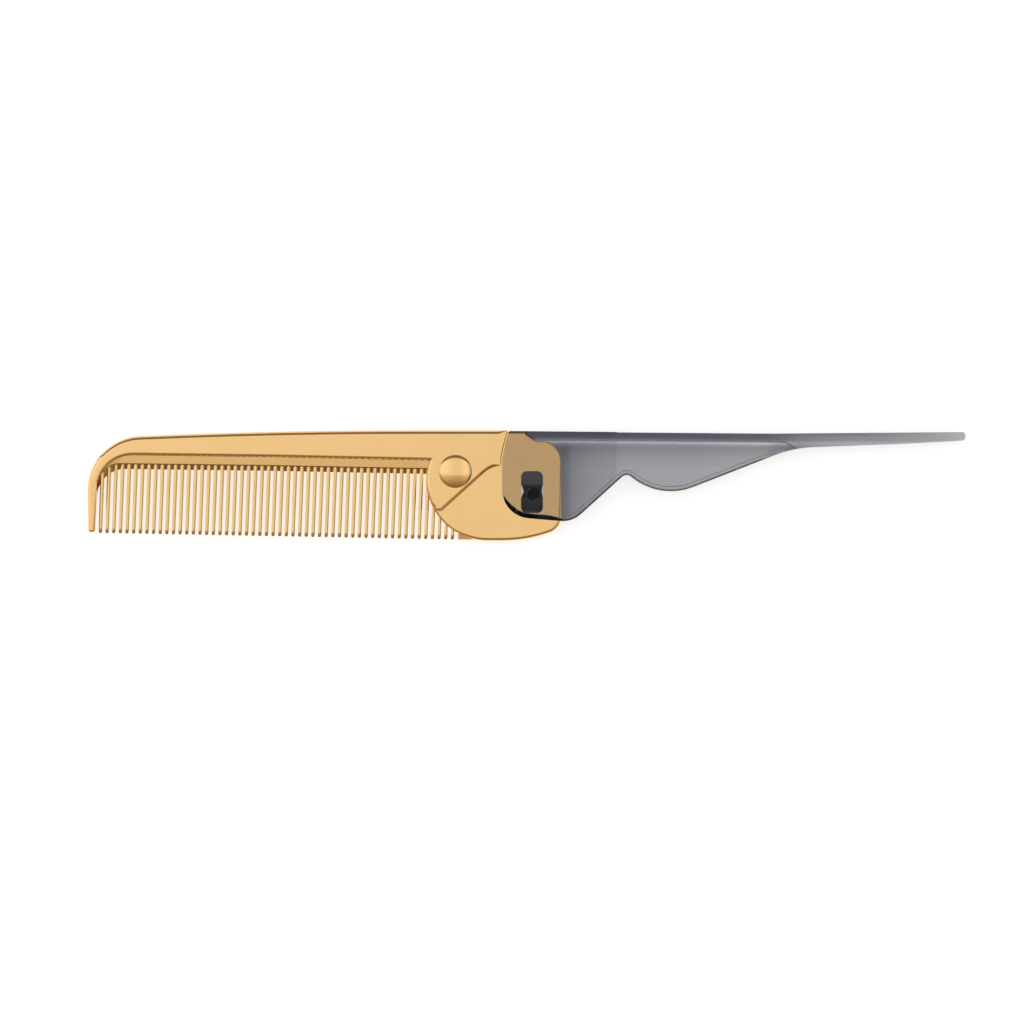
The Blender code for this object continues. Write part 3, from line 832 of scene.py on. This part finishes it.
def lip_profile(point):
    """The lip's bevel and bead; two rows at its end make it as long as the roof's profile."""
    bevel = lip_width(point)
    height = along(BEAD_HEIGHT, point.x)
    edge = LIP_OUTSIDE + bevel
    step = edge + BEAD_WIDTH
    slope = [(inwards, height - LIP_SLOPE * (edge - inwards))
             for inwards in (0, LIP_OUTSIDE / 2, LIP_OUTSIDE, LIP_OUTSIDE + bevel / 2)]
    foot = step + height / LIP_SLOPE
    return slope + [(edge, height), (step, height), (foot, 0), (foot + LIP_END_STEP, 0),
                    (foot + 2 * LIP_END_STEP, 0)]


def roof_profile():
    strip = [(inwards, below - ROOF_STRIP_DEPTH)
             for inwards, below in quarter_round(*ROOF_ROUND)]
    return strip + [(ROOF_STRIP_ENDS[0], -ROOF_STRIP_DEPTH), (ROOF_STRIP_ENDS[1], 0)]


def channel():
    """The gap between the ears and between the sheath's walls, from its lips to its roof."""
    handle = tidy_outline(handle_outline())
    outside = inset(handle, [-LIP_OUTSIDE] * len(handle))
    roof_start = (BACK_START[0][0], BACK_TOP + LIP_OUTSIDE)
    ears_top = [p for p in outside if p.x < roof_start[0] - ON_LINE and p.y > ON_BACK]
    lips = [p for p in outside if p.x < GAP_END[0][0] - ON_LINE and p.y < ON_BACK]
    lips = divided(lips, LIP_POINT_GAP)
    roof = rounded([(*lips[-1], 0), *GAP_END, *BACK_START[::-1], (*roof_start, 0)],
                   closed=False)[1:]
    outline = tidy_outline(ears_top + lips + roof)
    on_roof = {tuple(point) for point in roof}
    profiles = [roof_profile() if tuple(point) in on_roof else lip_profile(point)
                for point in outline]
    reaches = [profile[-1][0] for profile in profiles]
    shares = [have / reach for have, reach in zip(edge_radii(outline, reaches, GAP_FADE), reaches)]
    fitting = [[(inwards * share, below * share) for inwards, below in profile]
               for profile, share in zip(profiles, shares)]
    creases = [((x, 0, 0), (1, 0, 0), lambda centre: True) for x, _ in GAP_HALF[1:-1]]
    return shaped_slab("channel", outline, fitting, lambda x, y: along(GAP_HALF, x), creases)


def pin_seats():
    bm = bmesh.new()
    seat = circle((0, 0), BORE_RADIUS, ROUND_SIDES)
    add_slab(bm, seat, EAR_GAP_HALF - SEAT_OVERLAP, SEAT_DEPTH)
    add_slab(bm, seat, -SEAT_DEPTH, SEAT_OVERLAP - EAR_GAP_HALF)
    return object_from(bm, "pin_seats")


def handle_body():
    places = sorted(place for place, _ in TAIL_WEDGE + HANDLE_HALF[1:-1])
    creases = [((x, 0, 0), (1, 0, 0), lambda centre: True) for x in places]
    body = soft_slab("body", handle_outline(), handle_half, handle_edge, creases,
                     lambda point, radius: min(radius, HANDLE_EDGE_DEPTH))
    return joined("handle_clear", body, ("DIFFERENCE", channel()), ("DIFFERENCE", pin_seats()))


def smooth(obj, degrees):
    obj.data.shade_smooth()
    obj.data.set_sharp_from_angle(angle=math.radians(degrees))
    weighted = obj.modifiers.new("even_normals", "WEIGHTED_NORMAL")
    weighted.keep_sharp = True
    weighted.weight = NORMAL_WEIGHT


def material(name):
    made = bpy.data.materials.new(name)
    made.use_nodes = True
    nodes = made.node_tree.nodes
    return made, nodes, made.node_tree.links, nodes["Principled BSDF"]


def noise(nodes, links, stretch, scale, detail):
    """Noise in the piece's own coordinates, in metres, stretched along the axes."""
    coords = nodes.new("ShaderNodeTexCoord")
    mapping = nodes.new("ShaderNodeMapping")
    mapping.inputs["Scale"].default_value = stretch
    texture = nodes.new("ShaderNodeTexNoise")
    texture.inputs["Scale"].default_value = scale
    texture.inputs["Detail"].default_value = detail
    links.new(coords.outputs["Object"], mapping.inputs["Vector"])
    links.new(mapping.outputs["Vector"], texture.inputs["Vector"])
    return texture.outputs["Fac"]


def ramp(nodes, links, source, stops):
    """A colour ramp with stops of (position, colour)."""
    made = nodes.new("ShaderNodeValToRGB")
    elements = made.color_ramp.elements
    while len(elements) > 1:
        elements.remove(elements[-1])
    for i, (position, colour) in enumerate(stops):
        element = elements[0] if i == 0 else elements.new(position)
        element.position = position
        element.color = (*colour, 1)
    links.new(source, made.inputs["Fac"])
    return made.outputs["Color"]


def fitted(nodes, links, source, from_range, to_range=(0, 1)):
    """The source with one range turned into another, and held at its ends."""
    made = nodes.new("ShaderNodeMapRange")
    for name, value in zip(("From Min", "From Max", "To Min", "To Max"), from_range + to_range):
        made.inputs[name].default_value = value
    links.new(source, made.inputs["Value"])
    return made.outputs["Result"]


def spread(nodes, links, source, low, high):
    """The middle range of a noise turned into low to high."""
    return fitted(nodes, links, source, NOISE_RANGE, (low, high))


def maths(nodes, links, operation, first, second=None, third=None):
    """A maths node's result; the inputs are sockets or numbers."""
    made = nodes.new("ShaderNodeMath")
    made.operation = operation
    for socket, value in zip(made.inputs, (first, second, third)):
        if isinstance(value, (int, float)):
            socket.default_value = value
        elif value is not None:
            links.new(value, socket)
    return made.outputs["Value"]


def bump(nodes, links, shader, source, height):
    made = nodes.new("ShaderNodeBump")
    made.inputs["Strength"].default_value = 1.0
    made.inputs["Distance"].default_value = height
    links.new(source, made.inputs["Height"])
    links.new(made.outputs["Normal"], shader.inputs["Normal"])


def gold_material():
    """Bright gold skin on moulded plastic: a mirror with faint waves and fine wiping marks."""
    made, nodes, links, shader = material("gold_finish")
    shader.inputs["Metallic"].default_value = 1.0
    tint = ramp(nodes, links, noise(nodes, links, *GOLD_PATCHES), GOLD_TINTS)
    links.new(tint, shader.inputs["Base Color"])
    marks = noise(nodes, links, *GOLD_MARKS)
    links.new(spread(nodes, links, marks, *GOLD_ROUGHNESS), shader.inputs["Roughness"])
    bump(nodes, links, shader, noise(nodes, links, *GOLD_WAVES), GOLD_WAVE_HEIGHT)
    return made


def place_in_mm(nodes, links):
    """A point's x and y in the piece's own coordinates, in millimetres."""
    coords = nodes.new("ShaderNodeTexCoord")
    scaled = nodes.new("ShaderNodeVectorMath")
    scaled.operation = "SCALE"
    scaled.inputs["Scale"].default_value = 1 / MM
    split = nodes.new("ShaderNodeSeparateXYZ")
    links.new(coords.outputs["Object"], scaled.inputs[0])
    links.new(scaled.outputs["Vector"], split.inputs["Vector"])
    return split.outputs["X"], split.outputs["Y"]


def mixed(nodes, links, share, first, second, blend="MIX"):
    """Two colours mixed; the share is a socket or a number, and the colours sockets or tuples."""
    made = nodes.new("ShaderNodeMix")
    made.data_type = "RGBA"
    made.blend_type = blend
    colours = [socket for socket in made.inputs if socket.type == "RGBA"]
    for socket, value in zip([made.inputs["Factor"], *colours], (share, first, second)):
        if isinstance(value, tuple):
            socket.default_value = (*value, 1)
        elif isinstance(value, float):
            socket.default_value = value
        else:
            links.new(value, socket)
    return next(socket for socket in made.outputs if socket.type == "RGBA")


def shades(nodes, links, source, reach, rows):
    """Greys by place: rows of (place, red and green, blue) between the reach's two places."""
    low, high = reach
    stops = [((at - low) / (high - low), (grey, grey, blue)) for at, grey, blue in rows]
    return ramp(nodes, links, fitted(nodes, links, source, reach), stops)


def beside_tab(nodes, links, x, y):
    """0 over the gold tab, whose upper right corner is round, and 1 beside it."""
    corner_x, corner_y, corner_radius = TAB_CORNERS[3]
    shoulder_x, step_x = TAB_CORNERS[0][0], TAB_CORNERS[2][0]
    tab_top = fitted(nodes, links, x, (shoulder_x, step_x), (TAB_TOP_LEFT, corner_y))
    above = maths(nodes, links, "SUBTRACT", y, tab_top)
    past_top = maths(nodes, links, "ADD", above, corner_radius)
    past_side = maths(nodes, links, "SUBTRACT", x, corner_x - corner_radius)
    across = maths(nodes, links, "MAXIMUM", past_side, 0)
    upwards = maths(nodes, links, "MAXIMUM", past_top, 0)
    squared = maths(nodes, links, "MULTIPLY_ADD", across, across,
                    maths(nodes, links, "MULTIPLY", upwards, upwards))
    reach = maths(nodes, links, "SQRT", squared)
    return fitted(nodes, links, reach, tuple(corner_radius + shift for shift in TAB_FRINGE))


def smoke_tint_and_painted_shade(nodes, links):
    """Clear over the tab, grey in the sheath, darkest in the back, lighter along the tail: the
    plastic's grey with painted light and shade, a painted bright strip under the back and a
    painted shadow beside the tab.
    """
    x, y = place_in_mm(nodes, links)
    sink = fitted(nodes, links, x, SHADE_SINK_FROM, SHADE_SINK)
    height = maths(nodes, links, "ADD", y, sink)
    sheath = shades(nodes, links, height, SHADE_REACH, SHEATH_GREY_AND_PAINTED_LIGHT)
    tail = shades(nodes, links, y, SHADE_REACH, TAIL_GREY_AND_PAINTED_LIGHT)
    back = mixed(nodes, links, fitted(nodes, links, x, SHEATH_TO_TAIL), sheath, tail)
    thin_end = mixed(nodes, links, fitted(nodes, links, x, TAIL_FADE), back, TAIL_END_PAINTED_LIGHT)
    near_tab = shades(nodes, links, x, NEAR_TAB_REACH, NEAR_TAB_PAINTED_SHADOW)
    shade = mixed(nodes, links, fitted(nodes, links, y, NEAR_TAB_FADE), near_tab, WHITE)
    grey = mixed(nodes, links, 1.0, thin_end, shade, "MULTIPLY")
    return mixed(nodes, links, beside_tab(nodes, links, x, y), WHITE, grey)


def smoke_material():
    """Clear smoke-grey plastic: tinted skin with painted light and shade, faint flow lines, and
    grey in its depth.
    """
    made, nodes, links, shader = material("smoke_plastic")
    links.new(smoke_tint_and_painted_shade(nodes, links), shader.inputs["Base Color"])
    shader.inputs["Transmission Weight"].default_value = 1.0
    shader.inputs["IOR"].default_value = SMOKE_IOR
    shader.inputs["Specular Tint"].default_value = SMOKE_GLOSS_TINT
    marks = noise(nodes, links, *SMOKE_MARKS)
    links.new(spread(nodes, links, marks, *SMOKE_ROUGHNESS), shader.inputs["Roughness"])
    bump(nodes, links, shader, noise(nodes, links, *SMOKE_FLOW), SMOKE_FLOW_HEIGHT)
    depth = nodes.new("ShaderNodeVolumeAbsorption")
    depth.inputs["Color"].default_value = SMOKE_DEPTH_COLOUR
    depth.inputs["Density"].default_value = SMOKE_DENSITY
    links.new(depth.outputs["Volume"], nodes["Material Output"].inputs["Volume"])
    return made


def black_material(name, roughness, gloss, greys):
    """Black moulded plastic with a fine grain; greys has rows of (y, grey) in millimetres, which
    on the block are painted light and shade.
    """
    made, nodes, links, shader = material(name)
    tint = ramp(nodes, links, noise(nodes, links, *BLACK_PATCHES), BLACK_TINTS)
    _, y = place_in_mm(nodes, links)
    rows = [(at, grey, grey * BLACK_BLUE) for at, grey in greys]
    shade = shades(nodes, links, y, BLACK_REACH, rows)
    links.new(mixed(nodes, links, 1.0, tint, shade, "MULTIPLY"), shader.inputs["Base Color"])
    grain = noise(nodes, links, *BLACK_GRAIN)
    rough = spread(nodes, links, grain, roughness, roughness + BLACK_ROUGHNESS_SPREAD)
    links.new(rough, shader.inputs["Roughness"])
    shader.inputs["Specular IOR Level"].default_value = gloss
    bump(nodes, links, shader, grain, BLACK_GRAIN_HEIGHT)
    return made


def floor():
    bm = bmesh.new()
    bmesh.ops.create_circle(bm, cap_ends=True, segments=FLOOR_SIDES, radius=FLOOR_RADIUS)
    mesh = bpy.data.meshes.new("floor")
    bm.to_mesh(mesh)
    bm.free()
    obj = bpy.data.objects.new("floor", mesh)
    bpy.context.scene.collection.objects.link(obj)
    obj.location.z = -FLOOR_DROP
    made, _, _, shader = material("white_surface")
    shader.inputs["Base Color"].default_value = FLOOR_GREY
    shader.inputs["Roughness"].default_value = 1.0
    shader.inputs["Specular IOR Level"].default_value = 0.0
    shader.inputs["Emission Color"].default_value = (*WHITE, 1)
    shader.inputs["Emission Strength"].default_value = FLOOR_GLOW
    mesh.materials.append(made)


def studio_light():
    """Soft light from above, weaker near the horizon on the two long sides and on the right."""
    world = bpy.data.worlds.new("studio")
    bpy.context.scene.world = world
    world.use_nodes = True
    nodes, links = world.node_tree.nodes, world.node_tree.links
    background = nodes["Background"]
    coords = nodes.new("ShaderNodeTexCoord")
    split = nodes.new("ShaderNodeSeparateXYZ")
    links.new(coords.outputs["Generated"], split.inputs["Vector"])
    x, y, z = (split.outputs[axis] for axis in "XYZ")
    lowness = maths(nodes, links, "MULTIPLY_ADD", z, *LIGHT_LOWNESS)
    reach = maths(nodes, links, "MULTIPLY", y, lowness)
    share = maths(nodes, links, "MULTIPLY_ADD", reach, *LIGHT_REACH)
    across = ramp(nodes, links, share, LIGHT_ACROSS)
    place = maths(nodes, links, "MULTIPLY_ADD", x, *LIGHT_PLACE)
    lengthwise = ramp(nodes, links, place, LIGHT_LENGTHWISE)
    product = nodes.new("ShaderNodeVectorMath")
    product.operation = "MULTIPLY"
    links.new(across, product.inputs[0])
    links.new(lengthwise, product.inputs[1])
    links.new(product.outputs["Vector"], background.inputs["Color"])
    background.inputs["Strength"].default_value = LIGHT_STRENGTH


def camera():
    data = bpy.data.cameras.new("camera")
    data.lens = LENS
    data.sensor_width = SENSOR
    distance = FRAME_WIDTH * LENS / SENSOR
    obj = bpy.data.objects.new("camera", data)
    obj.location = (FRAME_CENTRE[0] * MM, FRAME_CENTRE[1] * MM, (FRAME_HEIGHT + distance) * MM)
    data.clip_start = CLIP_START
    data.clip_end = CLIP_END
    bpy.context.scene.collection.objects.link(obj)
    bpy.context.scene.camera = obj


def dress(obj, look, body, node, crease):
    """A finished piece gets its material, and rides in place of its CAD node."""
    obj.data.materials.clear()
    obj.data.materials.append(look)
    smooth(obj, crease)
    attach(obj, body)
    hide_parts(node)


def main():
    bpy.context.scene.view_settings.view_transform = "Standard"
    dress(comb_body(), gold_material(), "comb", "comb", GOLD_CREASE)
    block = black_material("black_block", BLOCK_ROUGHNESS, BLOCK_GLOSS, BLOCK_PAINTED_LIGHT_AND_SHADE)
    dress(block_body(), block, "comb", "pivot_block", PLAIN_CREASE)
    dress(handle_body(), smoke_material(), "handle", "handle", PLAIN_CREASE)
    pin = black_material("black_pin", PIN_ROUGHNESS, PIN_GLOSS, PIN_SHADES)
    dress(pin_body(), pin, "handle", "pivot_pin", PLAIN_CREASE)
    floor()
    studio_light()
    camera()


main()
